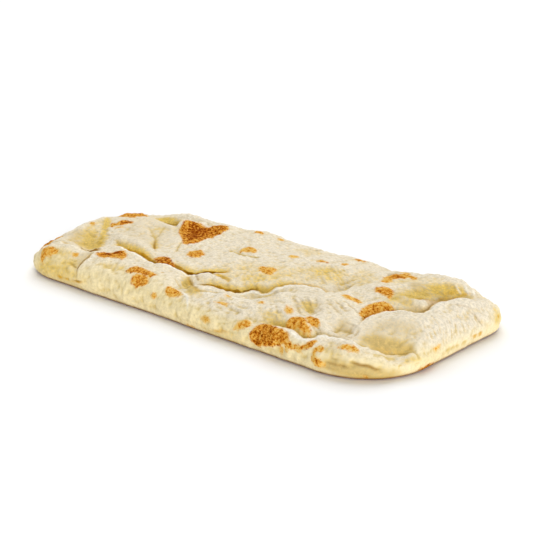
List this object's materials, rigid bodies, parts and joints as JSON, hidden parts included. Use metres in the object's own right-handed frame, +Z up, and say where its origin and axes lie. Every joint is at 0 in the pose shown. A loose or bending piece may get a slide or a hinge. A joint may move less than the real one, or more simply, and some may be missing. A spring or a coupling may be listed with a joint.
{
  "type": "pinsa base",
  "caption": "Rectangular par-baked flatbread base with round corners, a soft raised rim and a pillowed, creased top with toasted spots.",
  "frame": {"origin": "middle of the bounding box at its bottom, on the flat underside", "axes": "+X along the bread, +Y across it, +Z up out of its top"},
  "size_m": [0.4, 0.1774, 0.0344],
  "materials": {
    "crust": "matte, floury"
  },
  "bodies": {
    "root": {"pinsa_base": "crust"}
  },
  "joints": []
}
